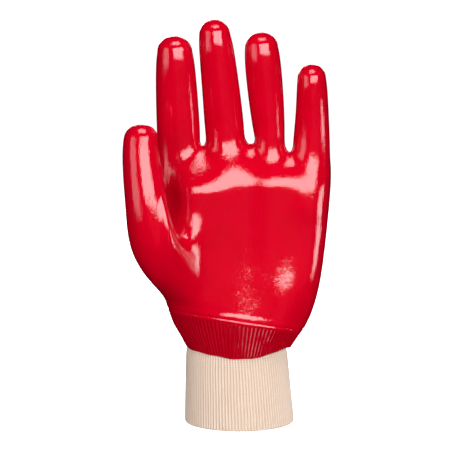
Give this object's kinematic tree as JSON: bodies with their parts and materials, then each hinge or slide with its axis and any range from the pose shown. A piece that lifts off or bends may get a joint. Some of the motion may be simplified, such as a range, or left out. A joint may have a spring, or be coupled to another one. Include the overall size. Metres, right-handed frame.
{
  "type": "pvc coated work glove",
  "caption": "Left-hand work glove of PVC-dipped cotton with round fingers and a free thumb, on a folded rib-knit wrist; protects the hand from wear, oil and wet.",
  "frame": {"origin": "middle of the wrist opening, in the plane of the hem", "axes": "+Z from the hem towards the fingertips, palm towards -Y, thumb towards -X"},
  "size_m": [0.1355, 0.0825, 0.2706],
  "materials": {
    "red_pvc": "dipped, smooth and glossy, with the knit showing through faintly",
    "undyed_cotton": "matt rib knit, undyed"
  },
  "bodies": {
    "root": {"coated_hand": "red_pvc", "knit_wrist": "undyed_cotton"}
  },
  "joints": []
}
